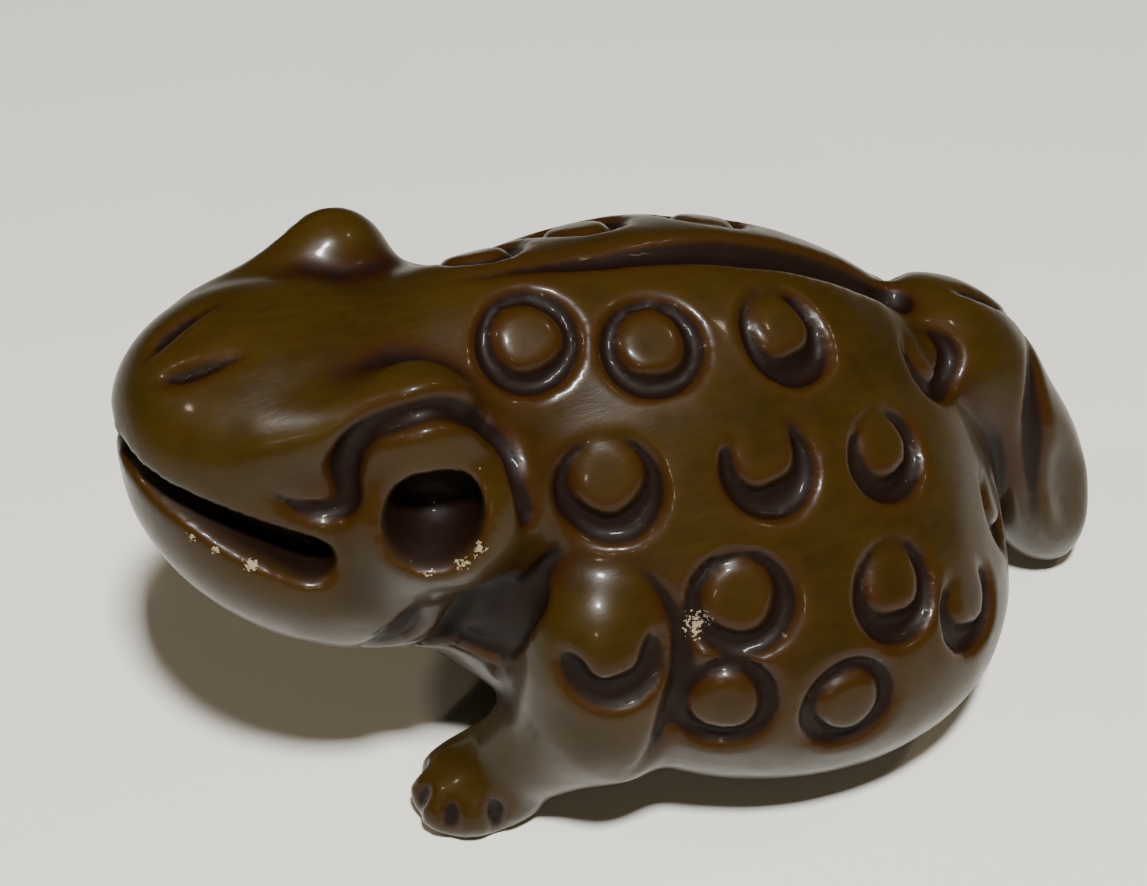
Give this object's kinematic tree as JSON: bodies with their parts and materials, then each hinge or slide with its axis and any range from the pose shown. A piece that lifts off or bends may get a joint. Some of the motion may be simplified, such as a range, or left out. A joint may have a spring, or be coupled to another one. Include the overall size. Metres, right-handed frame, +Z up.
{
  "type": "money toad figurine",
  "caption": "Carved wooden toad sitting on its belly and feet, with a single hind leg, ring-shaped warts, an open mouth slot and empty drilled eye sockets.",
  "frame": {"origin": "centre of the footprint, on the plane that the toad rests on", "axes": "-Y out of the mouth, +X to the toad's own left side, +Z up"},
  "size_m": [0.0518, 0.0798, 0.0437],
  "materials": {
    "lacquered_wood": "gloss"
  },
  "bodies": {
    "root": {"toad": "lacquered_wood"}
  },
  "joints": []
}
